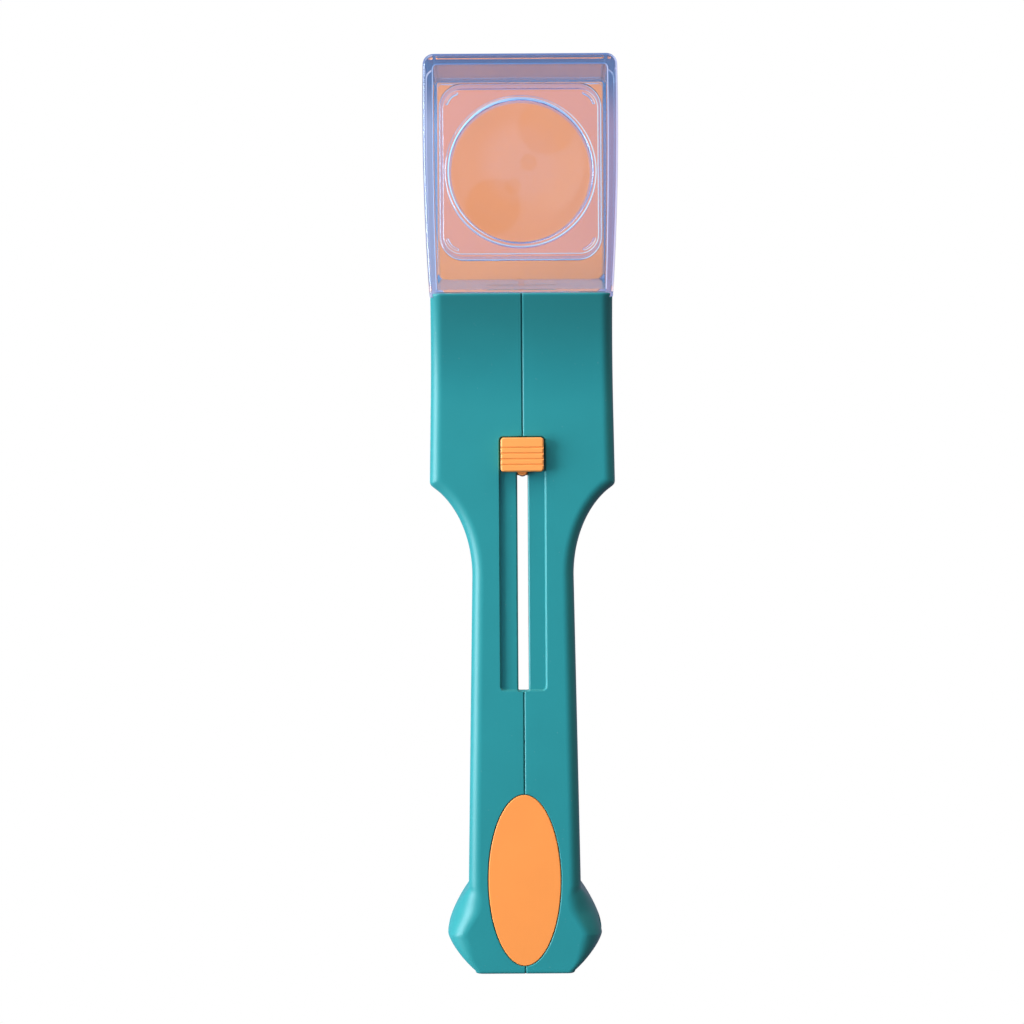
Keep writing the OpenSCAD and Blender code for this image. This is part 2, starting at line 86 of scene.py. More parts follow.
def top_height(y):
    """Height of the handle's top face: level along the grip, a parabola up the ramp, a straight
    fall to the butt, and a small quarter round over the front edge."""
    climb = np.clip((y - join + ramp_long) / ramp_long, 0, 1.1)
    fall = np.clip((butt_end + fall_long - y) / fall_long, 0, 1)
    turn = np.clip((y - join + front_round) / front_round, 0, 1)
    return (grip_top + (front_top - grip_top) * climb ** 2 - butt_drop * fall
            - front_round * (1 - np.sqrt(1 - turn ** 2)))


def arc_between(a, b, c, radius, steps=8):
    """Points on the arc that rounds the corner b of the path a, b, c to the given radius."""
    a, b, c = np.array(a, float), np.array(b, float), np.array(c, float)
    u, v = (a - b) / np.linalg.norm(a - b), (c - b) / np.linalg.norm(c - b)
    half = np.arccos(np.clip(u @ v, -1, 1)) / 2
    centre = b + (u + v) / np.linalg.norm(u + v) * radius / np.sin(half)
    start, end = b + u * radius / np.tan(half) - centre, b + v * radius / np.tan(half) - centre
    sweep = np.pi - 2 * half
    t = np.linspace(0, 1, steps + 1)[:, None]
    return centre + (np.sin((1 - t) * sweep) * start + np.sin(t * sweep) * end) / np.sin(sweep)


def handle_outline():
    """The handle's half width along Y, from the front to the butt: a straight head, a quarter of an
    ellipse at the shoulder, a straight grip, then power curves out to the butt's widest place and
    in to its flat end."""
    y = np.linspace(shoulder - 1.9, grip_start, 40)
    across = (y - grip_start) / (shoulder_long * 1.09)
    steep = (head_half - grip_half) * 1.68              # the ellipse reaches past the head's side
    shoulder_curve = np.column_stack([y, grip_half + steep * (1 - np.sqrt(1 - across ** 2))])
    t = np.linspace(0.03, 1, 24)
    flare = np.column_stack([flare_start - flare_long * t,
                             widest_half - (widest_half - flare_half) * (1 - t) ** 1.75])
    narrowing = np.column_stack([widest - end_long * t,
                                 widest_half - (widest_half - end_half) * t ** 1.4])
    head_front, head_corner = [join + 20, head_half - 1.24], [shoulder, head_half]
    return np.vstack([
        [head_front],
        arc_between(head_front, head_corner, shoulder_curve[0], 1.8),
        shoulder_curve,
        arc_between(shoulder_curve[-1], [flare_start, flare_half], flare[0], 1.5, 5),
        flare,
        narrowing])


outline = handle_outline()


def half_width(y, inset=0.0):
    """Half width of the handle at each y, rolled inwards by a ball whose radius is the inset: the
    least, over the outline, of half width minus the height of the ball's circle above that point."""
    samples = np.linspace(butt_end, join + 12, 1400)
    halves = np.interp(samples, outline[::-1, 0], outline[::-1, 1])
    y, inset = np.atleast_1d(y)[:, None], np.broadcast_to(inset, np.shape(y))[:, None]
    away = np.abs(samples - y)
    circle = np.sqrt(np.maximum(inset ** 2 - away ** 2, 0))
    rolled = np.where(away <= inset, halves - circle, np.inf).min(1)
    plain = np.interp(y[:, 0], outline[::-1, 0], outline[::-1, 1])
    return np.minimum(rolled, plain - inset[:, 0])


def bulge(y):
    """How far the butt's sides are barrelled at y, from 0 to 1."""
    return ease((butt_end + 25.5 - y) / 9) * (1 - ease((butt_end + 17 - y) / 16.5))


def quarter(steps):
    """Across and up factors of a quarter ellipse from its widest place up to its top."""
    t = np.linspace(0, np.pi / 2, steps + 1)
    return 1 - np.cos(t), np.sin(t)


def outer_sections(y, seam):
    """Sections of the right half at each y, as [station, point, (x, y, z)]: flat underside, lower
    quarter ellipse, side, upper quarter ellipse, flat top and a small round at the parting line,
    whose radius is the seam."""
    swell = bulge(y)
    low_in, low_tall = low_round + 3 * swell, low_round + 5 * swell
    upper = high_round * (1 - 0.65 * ease((butt_end + 11 - y) / 11))
    high_in, high_tall = upper + 3.2 * swell, upper + 7.5 * swell
    across, up = quarter(12)
    top = top_height(y)
    x, z = [], []
    for c, s in zip(*quarter(4)):                       # parting line, below
        x.append(np.full_like(y, seam * c))
        z.append(np.full_like(y, seam * (1 - s)))
    inner = half_width(y, low_in)
    for part in (0.3, 0.7, 0.98):
        x.append(seam + (inner - seam) * part)
        z.append(np.zeros_like(y))
    for c, s in zip(across[::-1], up[::-1]):            # lower edge
        x.append(half_width(y, low_in * c))
        z.append(low_tall * (1 - s))
    for c, s in zip(across, up):                        # upper edge
        x.append(half_width(y, high_in * c))
        z.append(top - high_tall * (1 - s))
    inner = half_width(y, high_in)
    for part in (0.98, 0.7, 0.3):
        x.append(seam + (inner - seam) * part)
        z.append(top)
    for c, s in zip(*[f[::-1] for f in quarter(4)]):    # parting line, above
        x.append(np.full_like(y, seam * c))
        z.append(top - seam * (1 - s))
    x, z = np.array(x).T, np.array(z).T
    return np.stack([x, np.broadcast_to(y[:, None], x.shape), z], axis=-1)


def solid(name, rings):
    """A closed solid through rings, where rings[k, i] is point i of ring k in millimetres.
    Neighbouring rings are joined by four-sided faces and one face closes each end. The sign of the
    volume tells whether the faces have to be turned round to point outwards."""
    rings = np.asarray(rings, float)
    count, points, _ = rings.shape
    k, i = np.meshgrid(np.arange(count - 1), np.arange(points), indexing="ij")
    a, b = k * points + i, k * points + (i + 1) % points
    quads = np.stack([a, b, b + points, a + points], axis=-1).reshape(-1, 4)
    caps = [np.arange(points)[::-1], np.arange(points) + (count - 1) * points]
    verts = rings.reshape(-1, 3)
    middle = verts.mean(0)
    p = verts[quads] - middle
    volume = (np.einsum("ij,ij->i", np.cross(p[:, 0], p[:, 1]), p[:, 2])
              + np.einsum("ij,ij->i", np.cross(p[:, 0], p[:, 2]), p[:, 3])).sum()
    for cap in caps:
        q = verts[cap] - middle
        volume += np.einsum("ij,ij->i", np.cross(q[1:-1], q[2:]), q[:1]).sum()
    faces = [list(map(int, f)) for f in [*quads, *caps]]
    if volume < 0:
        faces = [face[::-1] for face in faces]
    mesh = bpy.data.meshes.new(name)
    mesh.from_pydata((verts * mm).tolist(), [], faces)
    piece = bpy.data.objects.new(name, mesh)
    bpy.context.scene.collection.objects.link(piece)
    return piece


def slab(name, plan, profile):
    """A solid carried up a closed plan: ring k is the plan moved inwards by profile[k][0], each
    corner along its mitre, at height profile[k][1]."""
    plan, profile = np.asarray(plan, float), np.asarray(profile, float)
    ahead = np.roll(plan, -1, 0) - plan
    ahead /= np.linalg.norm(ahead, axis=1, keepdims=True)
    out = np.stack([ahead[:, 1], -ahead[:, 0]], 1)
    before = np.roll(out, 1, 0)
    mitre = (out + before) / (1 + (out * before).sum(1, keepdims=True))
    area = (plan[:, 0] * np.roll(plan[:, 1], -1) - plan[:, 1] * np.roll(plan[:, 0], -1)).sum()
    mitre *= np.sign(area)
    flat = plan[None] - mitre[None] * profile[:, None, :1]
    height = np.broadcast_to(profile[:, None, 1:], flat[..., :1].shape)
    return solid(name, np.concatenate([flat, height], -1))


def rounded_slab(name, plan, low, high, below, above, steps=4):
    """A slab from low to high whose lower and upper edges are quarter rounds of those radii."""
    c, s = quarter(steps)
    lower = np.column_stack([below * c[::-1], low + below * (1 - s[::-1])])
    upper = np.column_stack([above * c, high - above * (1 - s)])
    return slab(name, plan, np.vstack([lower, upper]))


def pocket(name, plan, low, high, fillet, flare):
    """A cutter for a pocket: filleted round its floor, and flared where it meets the face at high."""
    c, s = quarter(8)
    floor_edge = np.column_stack([fillet * c[::-1], low + fillet * (1 - s[::-1])])
    mouth = np.column_stack([-flare * c[:7], high - flare * (1 - s[:7])])
    steep = (mouth[-1] - mouth[-2]) / (mouth[-1] - mouth[-2])[1]
    return slab(name, plan, np.vstack([floor_edge, mouth, mouth[-1] + steep * 0.25]))


def round_rect(wide, long, radius, centre=(0, 0), steps=6):
    """Rectangle with rounded corners, as a closed plan."""
    t = np.radians(np.linspace(0, 90, steps + 1))
    turns = np.arange(4)[:, None] * np.pi / 2 + t
    sx = np.array([1, -1, -1, 1])[:, None] * (wide / 2 - radius)
    sy = np.array([1, 1, -1, -1])[:, None] * (long / 2 - radius)
    x, y = sx + radius * np.cos(turns), sy + radius * np.sin(turns)
    return np.column_stack([x.ravel() + centre[0], y.ravel() + centre[1]])


def oblong(wide, y0, y1):
    """Rectangle centred on the middle line, from y0 to y1, as a closed plan."""
    return [[-wide / 2, y0], [wide / 2, y0], [wide / 2, y1], [-wide / 2, y1]]


def oval(wide, long, points=112):
    """Ellipse as a closed plan."""
    t = np.linspace(0, 2 * np.pi, points, endpoint=False)
    return np.column_stack([wide / 2 * np.cos(t), long / 2 * np.sin(t)])


def bar(name, at, radius, x0, x1, points=40):
    """A round bar along X from x0 to x1, through at = (y, z)."""
    t = np.linspace(0, 2 * np.pi, points, endpoint=False)
    y, z = at[0] + radius * np.cos(t), at[1] + radius * np.sin(t)
    ring = np.column_stack([np.zeros(points), y, z])
    return solid(name, np.stack([ring + [x0, 0, 0], ring + [x1, 0, 0]]))


def side_plate(name, outline_yz, reach=90):
    """A thick plate across the whole width, with the given outline of (y, z) corners."""
    ring = np.column_stack([np.zeros(len(outline_yz)), outline_yz])
    return solid(name, np.stack([ring - [reach, 0, 0], ring + [reach, 0, 0]]))


def ahead_of(name, y, z, top, low=-5, far=150):
    """Everything ahead of the leaning plane that crosses height z at y, up to the given top."""
    return side_plate(name, [[y + (z - low) * lean, low], [y + far, low],
                             [y + far, top], [y + (z - top) * lean, top]])


def carve(piece, how, *tools):
    """Cuts, joins or meets a solid with others, then keeps the result as the piece's mesh."""
    for tool in tools:
        step = piece.modifiers.new("carve", "BOOLEAN")
        step.operation, step.object, step.solver = how, tool, "MANIFOLD"
    solved = piece.evaluated_get(bpy.context.evaluated_depsgraph_get())
    mesh = bpy.data.meshes.new_from_object(solved)
    piece.modifiers.clear()
    piece.data = mesh
    for tool in tools:
        bpy.data.objects.remove(tool)
    return piece


def finish(piece, material, body, stands_for, sharp=16, banded=False):
    """Merges points closer than a micron, smooths a piece except at edges sharper than that many
    degrees, keeps its flat faces flat, gives it its material and its body, and hides the fixed node
    that it stands for. Long narrow bands shade evenly when the corners' angles count as well."""
    mesh = piece.data
    micron = 0.001 * mm
    shape = bmesh.new()
    shape.from_mesh(mesh)
    bmesh.ops.remove_doubles(shape, verts=shape.verts, dist=micron)
    bmesh.ops.dissolve_degenerate(shape, dist=micron, edges=shape.edges)
    shape.to_mesh(mesh)
    shape.free()
    mesh.materials.clear()
    mesh.materials.append(material)
    mesh.shade_smooth()
    mesh.set_sharp_from_angle(angle=np.radians(sharp))
    flat = piece.modifiers.new("flat faces stay flat", "WEIGHTED_NORMAL")
    flat.keep_sharp = True
    flat.weight, flat.mode = (50, "FACE_AREA_WITH_ANGLE") if banded else (80, "FACE_AREA")
    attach(piece, body)
    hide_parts(stands_for)


tongue_wide, tongue_low, tongue_thick = 19.5, 14.0, 2.0
ceiling = 27.0                          # inside the clear box
near_wall = 2.0
wall_back = join + 1 - near_wall        # the leaning wall's back, where it meets the ceiling
hook = wall_back + (ceiling - tongue_low - tongue_thick) * lean - wall - 2 * fit
track_wide, track_long, slot_wide = 13, 71.7, 3
track_front = join - 39.5
track_end = track_front - track_long
track_floor = grip_top - 1.2
screws = [(join - 19.6, 11.0), (butt_end + 66, 9.5), (butt_end + 12, 8.5)]      # (y, z) of each axis
pegs = [(join - 31.6, 11.0), (butt_end + 40, 9.5)]
shank, shank_hole, counterbore = 1.25, 1.55, 3.0        # radii
peg, peg_long = 1.5, 3.0
oval_wide, oval_long = 20.5, 48.5
oval_y = butt_end + 26.6
oval_tilt = np.arctan(butt_drop / fall_long)
door_stop = shoulder - 5.7              # the trapdoor's rear edge when it is open
channel_half, channel_low, channel_high = 24.3, 1.5, 3.7        # the trapdoor's way


def set_in_butt(piece):
    """Lays a piece made on the level plane into the butt's sloping top face."""
    points = np.empty(len(piece.data.vertices) * 3)
    piece.data.vertices.foreach_get("co", points)
    x, y, z = points.reshape(-1, 3).T
    c, s = np.cos(oval_tilt), np.sin(oval_tilt)
    placed = np.column_stack([x, y * c - z * s + oval_y * mm,
                              y * s + z * c + top_height(oval_y) * mm])
    piece.data.vertices.foreach_set("co", placed.ravel())
    piece.data.update()
    return piece


def rounded_butt(rings):
    """The rings with a quarter round along the flat end's edges: the first ring shrinks towards the
    middle of the end as it moves out."""
    first = rings[0]
    centre = np.array([0, 0, first[:, 2].max() / 2])
    reach = first.max(0) - centre
    c, s = [f[::-1, None] for f in quarter(4)]
    shrink = np.hstack([1 - end_round * c / reach[0], np.ones_like(c), 1 - end_round * c / reach[2]])
    end = centre + (first - centre) * shrink[:, None] - np.array([0, end_round, 0]) * s[:, None]
    return np.concatenate([end, rings[1:]])


def hollow_sections(y):
    """Hollow of the right half: a plain section inside the walls, floor and roof."""
    half = half_width(y) - wall - 2.5 * bulge(y) - np.where(y > shoulder, 1.0, 0.0)
    top = top_height(np.minimum(y, join - front_round)) - roof
    x = np.stack([np.full_like(y, -2), half - 0.5, half - 0.15, half, half, half - 0.3, half - 1,
                  np.full_like(y, -2)], 1)
    z = np.stack([np.full_like(y, floor), np.full_like(y, floor), np.full_like(y, floor + 0.15),
                  np.full_like(y, floor + 0.5), top - 1, top - 0.3, top, top], 1)
    return np.stack([x, np.broadcast_to(y[:, None], x.shape), z], axis=-1)


def hollow():
    """Cutter for the inside of the right half. Its front leans with the clear box's wall."""
    y = np.unique(np.concatenate([
        np.linspace(butt_end + 6, flare_start, 20), np.linspace(flare_start, grip_start, 6),
        np.linspace(grip_start, shoulder - 0.1, 30), np.linspace(shoulder, wall_back - 2.5, 20)]))
    front = hollow_sections(np.array([wall_back - wall - fit]))
    front[..., 1] += (ceiling - front[..., 2]) * lean
    return solid("hollow", np.concatenate([hollow_sections(y), front]))


def boss(at, radius=4.0, cover=1.1):
    """A post for a screw or peg, from the parting line into the wall beside it, whose outer face
    stays at least the cover away."""
    beside = half_width(np.array([at[0] - radius, at[0], at[0] + radius]))
    return bar("boss", at, radius, 0.0, float(beside.min()) - cover)


def handle_openings():
    """Cutters for the trapdoor's channel, the clear box and its tongue, the track with its slot,
    and the oval's pocket. The slot's upper edge is chamfered."""
    tail, front = door_stop - 0.4, join + 20
    channel = [[-1, tail], [18.75, tail], [channel_half, tail + 6.5], [channel_half, front],
               [-1, front]]
    track = round_rect(track_wide, track_long, 1.1, (0, track_front - track_long / 2), 5)
    slot_long = track_long - 0.3
    slot = round_rect(slot_wide, slot_long, 0.3, (0, track_end + slot_long / 2), 3)
    tongue_place = (0, hook + 9)
    return [
        slab("channel", channel, [[0, channel_low], [0, channel_high]]),
        ahead_of("front", wall_back - fit, ceiling, ceiling + fit),
        slab("lip", oblong(80, join, join + 40), [[0, 26], [0, 40]]),
        slab("neck", round_rect(tongue_wide + 2 * fit, 20, 0.1, tongue_place, 1),
             [[0, tongue_low - fit], [0, tongue_low + tongue_thick + fit]]),
        slab("slit", round_rect(1.7, 20, 0.1, tongue_place, 1), [[0, 2.0], [0, tongue_low + 0.5]]),
        slab("slot", slot, [[-0.15, -1], [-0.15, 0], [0, 0.2], [0, track_floor - 0.45],
                            [-0.08, track_floor - 0.2], [-0.42, track_floor + 0.02], [-0.5, 30]]),
        slab("slot_end", round_rect(slot_wide, 5, 0.3, (0, track_end + 0.2), 3), [[0, -1], [0, 3]]),
        pocket("track", track, track_floor, grip_top, 0.35, 0.3),
        set_in_butt(pocket("oval", oval(oval_wide + 2 * fit, oval_long + 2 * fit), -1.75, 0, 0.2, 0.3))]


def handle_half(name, seam):
    """The right half, before its screw and peg holes. The stations stand closest where the outline
    and the ramp curve most."""
    stations = np.unique(np.concatenate([
        np.linspace(butt_end + end_round, flare_start + 1, 70),
        np.linspace(flare_start + 1, grip_start, 24),
        np.linspace(grip_start, shoulder + 2.5, 90),
        np.linspace(shoulder + 2.5, join - ramp_long, 14),
        np.linspace(join - ramp_long, join - front_round, 40),
        join - front_round + front_round * np.sin(np.linspace(0, np.pi / 2, 7)),
        [join + 0.5, join + 7]]))
    half = solid(name, rounded_butt(outer_sections(stations, seam)))
    carve(half, "DIFFERENCE", hollow())
    carve(half, "UNION", *[boss(at) for at in screws + pegs])
    carve(half, "DIFFERENCE", *handle_openings())
    return half


def maths(tree, operation, *values):
    """Output of a maths node. Each value is a number or a socket."""
    node = tree.nodes.new("ShaderNodeMath")
    node.operation = operation
    for socket, value in zip(node.inputs, values):
        if isinstance(value, (int, float)):
            socket.default_value = value
        else:
            tree.links.new(value, socket)
    return node.outputs[0]


def mixed(tree, factor, low, high):
    """Low where the factor is 0 and high where it is 1. Each is a colour or a socket."""
    node = tree.nodes.new("ShaderNodeMix")
    node.data_type = "RGBA"
    tree.links.new(factor, node.inputs["Factor"])
    for socket, colour in (("A", low), ("B", high)):
        if isinstance(colour, tuple):
            node.inputs[socket].default_value = (*colour, 1)
        else:
            tree.links.new(colour, node.inputs[socket])
    return node.outputs["Result"]


def new_group(name, colours_in, numbers_in, colours_out, numbers_out=()):
    """An empty node group with the named colour and number sockets, its input node's sockets and
    its output node's."""
    group = bpy.data.node_groups.new(name, "ShaderNodeTree")
    for names, way, kind in ((colours_in, "INPUT", "Color"), (numbers_in, "INPUT", "Float"),
                             (colours_out, "OUTPUT", "Color"), (numbers_out, "OUTPUT", "Float")):
        for socket in names:
            group.interface.new_socket(socket, in_out=way, socket_type="NodeSocket" + kind)
    given, out = group.nodes.new("NodeGroupInput"), group.nodes.new("NodeGroupOutput")
    return group, given.outputs, out.inputs


def moulded_skin():
    """Node group for moulded plastic: cloudy colour with here and there a speck of dust, a grain
    height, and a roughness of 0.12 grain plus the gloss. Every plastic has its own values."""
    if "moulded_skin" in bpy.data.node_groups:
        return bpy.data.node_groups["moulded_skin"]
    group, given, out = new_group("moulded_skin", ["Colour"],
                                  ["Cloudiness", "Grain per metre", "Gloss"],
                                  ["Colour"], ["Roughness", "Grain"])
    place = group.nodes.new("ShaderNodeTexCoord")

    def noise(scale, detail):
        texture = group.nodes.new("ShaderNodeTexNoise")
        texture.inputs["Detail"].default_value = detail
        if isinstance(scale, int):
            texture.inputs["Scale"].default_value = scale
        else:
            group.links.new(scale, texture.inputs["Scale"])
        group.links.new(place.outputs["Object"], texture.inputs["Vector"])
        return texture.outputs["Fac"]

    cloud, grain, dust = noise(70, 3), noise(given["Grain per metre"], 2), noise(1100, 1)
    swing = maths(group, "MULTIPLY", maths(group, "SUBTRACT", cloud, 0.5), given["Cloudiness"])
    shade = group.nodes.new("ShaderNodeVectorMath")
    shade.operation = "SCALE"
    group.links.new(given["Colour"], shade.inputs[0])
    group.links.new(maths(group, "MULTIPLY_ADD", swing, 2, 1), shade.inputs["Scale"])
    speck = group.nodes.new("ShaderNodeMapRange")
    for socket, value in (("From Min", 0.76), ("From Max", 0.82), ("To Max", 0.12)):
        speck.inputs[socket].default_value = value
    group.links.new(dust, speck.inputs["Value"])
    dusty = mixed(group, speck.outputs["Result"], shade.outputs[0], (0.5, 0.5, 0.48))
    group.links.new(dusty, out["Colour"])
    group.links.new(maths(group, "MULTIPLY_ADD", grain, 0.12, given["Gloss"]), out["Roughness"])
    group.links.new(grain, out["Grain"])
    return group


def add_skin(material, colour, cloudiness, grain, gloss):
    """Gives a material its moulded skin, linked to the shader's roughness, and returns its tree,
    its shader and the skin's outputs."""
    material.use_nodes = True
    tree = material.node_tree
    shader = tree.nodes["Principled BSDF"]
    skin = tree.nodes.new("ShaderNodeGroup")
    skin.node_tree = moulded_skin()
    skin.inputs["Colour"].default_value = (*colour, 1)
    for socket, value in (("Cloudiness", cloudiness), ("Grain per metre", grain), ("Gloss", gloss)):
        skin.inputs[socket].default_value = value
    tree.links.new(skin.outputs["Roughness"], shader.inputs["Roughness"])
    return tree, shader, skin.outputs


def moulded_plastic(name, colour, cloudiness, gloss, shine):
    """Satin ABS, moulded in a finely sparked tool: the skin's colour and gloss, and its grain as a
    shallow relief."""
    material = bpy.data.materials.new(name)
    tree, shader, skin = add_skin(material, colour, cloudiness, grain=5200, gloss=gloss)
    relief = tree.nodes.new("ShaderNodeBump")
    relief.inputs["Strength"].default_value = 0.12
    relief.inputs["Distance"].default_value = 0.00004
    shader.inputs["Specular IOR Level"].default_value = shine
    tree.links.new(skin["Colour"], shader.inputs["Base Color"])
    tree.links.new(skin["Grain"], relief.inputs["Height"])
    tree.links.new(relief.outputs["Normal"], shader.inputs["Normal"])
    return material


teal = moulded_plastic("teal_abs", (0.018, 0.230, 0.228), 0.06, 0.36, 0.36)
right = handle_half("handle_half_right", 0.8)
left = handle_half("handle_half_left", 0.36)
points = np.empty(len(left.data.vertices) * 3)          # the left half is mirrored
left.data.vertices.foreach_get("co", points)
left.data.vertices.foreach_set("co", (points.reshape(-1, 3) * [-1, 1, 1]).ravel())
left.data.flip_normals()
carve(right, "DIFFERENCE",
      *[bar("shank_hole", at, shank_hole, -1, 60) for at in screws],
      *[bar("counterbore", at, counterbore, 8, 60) for at in screws],
      *[bar("peg_hole", at, peg + 0.1, -1, peg_long + 0.2) for at in pegs])
carve(left, "DIFFERENCE", *[bar("thread_hole", at, shank + 0.05, -9, 1) for at in screws])
carve(left, "UNION", *[bar("peg", at, peg, -1, peg_long) for at in pegs])
finish(right, teal, "handle", "right_shell")
finish(left, teal, "handle", "left_shell")

# ---- Screws -------------------------------------------------------------------------------------
# Three zinc-plated self-tapping screws with domed heads and cross recesses. Their heads sit in deep
# counterbores in the right half, and their shanks cut their own thread in the left half's bosses.


def turned(name, profile, at, points=48):
    """A solid of revolution about X through at = (y, z). Each profile row is (x, radius)."""
    t = np.linspace(0, 2 * np.pi, points, endpoint=False)
    x, radius = np.asarray(profile, float).T
    rings = np.stack([np.broadcast_to(x[:, None], (len(x), points)),
                      at[0] + radius[:, None] * np.cos(t), at[1] + radius[:, None] * np.sin(t)], -1)
    return solid(name, rings)


def domed_screw(name, at, tip_x=-8, seat_x=8, head=2.6, rise=1.3):
    """A screw along X: a shank with a blunt point, and a head whose dome is a quarter ellipse."""
    c, s = quarter(8)
    edge = 0.15
    dome = np.column_stack([seat_x + 0.7 + rise * s, head - (head - 0.05) * c])
    return turned(name, np.vstack([
        [tip_x, 0.5], [tip_x + 1, shank], [seat_x, shank], [seat_x, head - edge],
        [seat_x + edge, head], dome]), at)


def cross_recess(at, blade=1.55, tip=0.32):
    """Cutter for a cross in a screw's head: a plus-shaped plan that widens from 0.55 to 1.05 of its
    size on its way out."""
    quadrant = np.array([[tip, tip], [tip, blade], [-tip, blade]])
    turn = np.array([[0, 1], [-1, 0]])
    plan = np.vstack([quadrant @ np.linalg.matrix_power(turn, k) for k in range(4)])
    rings = [np.column_stack([np.full(len(plan), x), plan * size + at])
             for x, size in ((8.75, 0.55), (10.4, 1.05))]
    return solid("recess", rings)


def zinc_plate():
    """Bright zinc plating, with fine marks that show in the gloss."""
    material = bpy.data.materials.new("zinc_plate")
    tree, shader, skin = add_skin(material, (0.6, 0.61, 0.64), 0.2, grain=3000, gloss=0.24)
    shader.inputs["Metallic"].default_value = 1
    tree.links.new(skin["Colour"], shader.inputs["Base Color"])
    return material


zinc = zinc_plate()
for place, at in zip(("front", "middle", "rear"), screws):
    screw = carve(domed_screw("screw_" + place, at), "DIFFERENCE", cross_recess(at))
    finish(screw, zinc, "handle", place + "_screw", 30)

# ---- Oval inlay ---------------------------------------------------------------------------------
# A flat oval of orange ABS, pressed into the pocket on top of the butt, level with it. A narrow
# groove shows all round it because both edges are slightly rounded.

orange = moulded_plastic("orange_abs", (0.97, 0.30, 0.064), 0.05, 0.4, 0.32)
inlay = set_in_butt(rounded_slab("oval_inlay", oval(oval_wide, oval_long), -1.6, 0, 0.1, 0.28, 6))
finish(inlay, orange, "handle", "grip_inlay")

# ---- Trapdoor -----------------------------------------------------------------------------------
# A flat plate of orange ABS that slides in grooves under the clear box and shuts it from below.
# Its long arm runs back inside the handle to the carriage and is clipped on the carriage's spigot.

door_low, door_high = corners_of("trap_door")
travel = frame["record"]["behaviour"]["joints"][0]["range_m"][1] / mm
door_rear = door_stop + travel
door_tail_half, door_taper = 18.4, 6.4
arm_wide = 14
edge_below, edge_above = 0.15, 0.22
post_long, post_wide = 10.6, 2.7
post_front = track_front - 0.4
post_rear = post_front - post_long


def stadium(wide, y0, y1, steps=12):
    """Slot outline with round ends, from y0 to y1."""
    t = np.linspace(0, np.pi, steps + 1)
    r = wide / 2
    front = np.column_stack([r * np.cos(t), y1 - r + r * np.sin(t)])
    back = np.column_stack([-r * np.cos(t), y0 + r - r * np.sin(t)])
    return np.vstack([front, back])


door_half, door_front = door_high[:2]
side = np.vstack([[[door_tail_half, door_rear]], [[door_half, door_rear + door_taper]],
                  arc_between([door_half, door_rear + door_taper], [door_half, door_front],
                              [0, door_front], 0.6, 4)])
door_plan = np.vstack([side, side[::-1] * [-1, 1]])
arm_plan = stadium(arm_wide, door_low[1], door_rear + 10, 20)
door, arm = [rounded_slab(name, plan, door_low[2], door_high[2], edge_below, edge_above)
             for name, plan in (("trapdoor_plate", door_plan), ("arm", arm_plan))]
carve(door, "UNION", arm)
carve(door, "DIFFERENCE",
      slab("spigot_hole", stadium(post_wide + 0.1, post_rear + 1.95, post_front - 1.95),
           [[0, 0], [0, 6]]))
finish(door, orange, "door", "trap_door")

# ---- Carriage -----------------------------------------------------------------------------------
# One moulding of orange ABS: the post that joins the arm to the thumb knob through the slot. A
# foot stands on the arm, and a flange under the track's floor keeps the post upright.

foot_plan = round_rect(10, 9.8, 1.5, (0, (post_front + post_rear) / 2))
carriage = rounded_slab("carriage_post", stadium(post_wide, post_rear, post_front),
                        3.3, track_floor + 1.5, 0, 0.1)
carve(carriage, "UNION",
      rounded_slab("spigot", stadium(post_wide, post_rear + 2, post_front - 2), 0.4, 4.3, 0.3, 0),
      rounded_slab("foot", foot_plan, 3.3, 5.7, 0, 0.3),
      rounded_slab("flange", foot_plan, grip_top - 4.6, grip_top - 3.2, 0.2, 0.2))
finish(carriage, orange, "door", "slider_carriage", 30)

# ---- Thumb knob ---------------------------------------------------------------------------------
# A block of orange ABS that fills the track's width and is pressed on the post. Four grooves
# across its top give the thumb some grip, and its top edges are rounded.

knob_low, knob_high = corners_of("thumb_knob")
knob_y = (knob_low[1] + knob_high[1]) / 2
grooves, groove_pitch, groove_radius = 4, 1.6, 0.33


def groove(k):
    """Cutter for groove k: a bar whose axis stands just above the knob's top."""
    across = knob_y - 0.5 + (k - (grooves - 1) / 2) * groove_pitch
    return bar("groove", (across, knob_high[2] + 0.05), groove_radius, -10, 10, 24)


knob = rounded_slab("thumb_knob_block", round_rect(12.1, 9.6, 0.9, (0, knob_y)),
                    knob_low[2], knob_high[2], 0.15, 0.5, 7)
carve(knob, "DIFFERENCE",
      *[groove(k) for k in range(grooves)],
      slab("post_hole", stadium(post_wide + 0.1, post_rear - 0.05, post_front + 0.05),
           [[0, 10], [0, track_floor + 1.65]]))
knob_orange = moulded_plastic("knob_orange_abs", (0.97, 0.335, 0.078), 0.05, 0.4, 0.32)
finish(knob, knob_orange, "door", "thumb_knob", 24)

# ---- Clear box ----------------------------------------------------------------------------------
# One clear acrylic moulding: far wall, bowed side walls, a near wall that leans on the handle, and
# a top with a seat for the lens plate. Rails and grooves along the bottom guide the trapdoor, and a
# T-shaped tongue behind the near wall is clamped between the handle's halves.

box_half, far_end, box_top = corners_of("viewing_box")[1]
side_wall = 2.5
rails_low, rails_high = 2.5, 4.9
plate_wide, plate_long = 44.8, 48.8     # the lens plate, which is seated in the top


